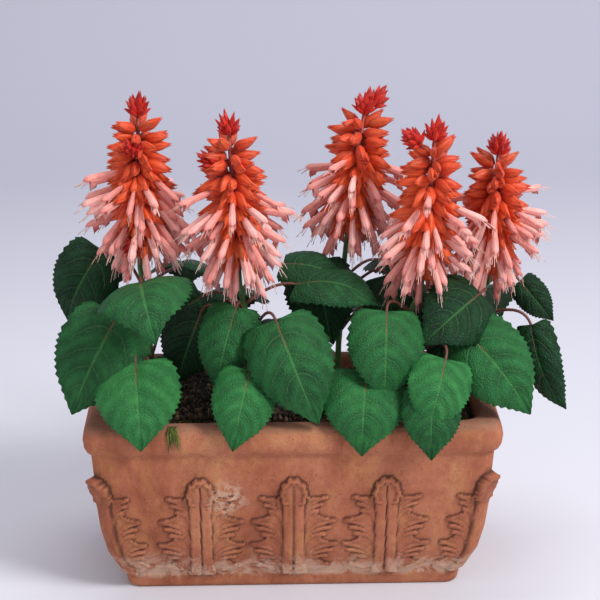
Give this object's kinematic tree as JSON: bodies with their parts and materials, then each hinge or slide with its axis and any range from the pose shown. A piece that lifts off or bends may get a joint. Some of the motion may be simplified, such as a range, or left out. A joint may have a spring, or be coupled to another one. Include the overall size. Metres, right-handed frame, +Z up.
{
  "type": "potted_flower_planter",
  "caption": "long terracotta trough with acanthus relief, planted with scarlet salvia: toothed heart-shaped leaves and upright spikes of tubular flowers",
  "frame": {"origin": "the middle of the trough's base, on the surface that it stands on", "axes": "+X along the trough to its right end, +Y to its back, +Z up"},
  "size_m": [0.5041, 0.281, 0.4914],
  "materials": {
    "terracotta": "matt unglazed fired clay with pale lime bloom",
    "compost": "damp dark fibrous compost",
    "leaf": "satin green leaf, reddish stalks",
    "flower": "satin scarlet calyces and salmon-pink flowers"
  },
  "bodies": {
    "root": {"trough": "terracotta", "compost": "compost", "leafy_stem_1": "leaf", "leafy_stem_2": "leaf", "leafy_stem_3": "leaf", "leafy_stem_4": "leaf", "leafy_stem_5": "leaf", "flower_spike_1": "flower", "flower_spike_2": "flower", "flower_spike_3": "flower", "flower_spike_4": "flower", "flower_spike_5": "flower"}
  },
  "joints": []
}
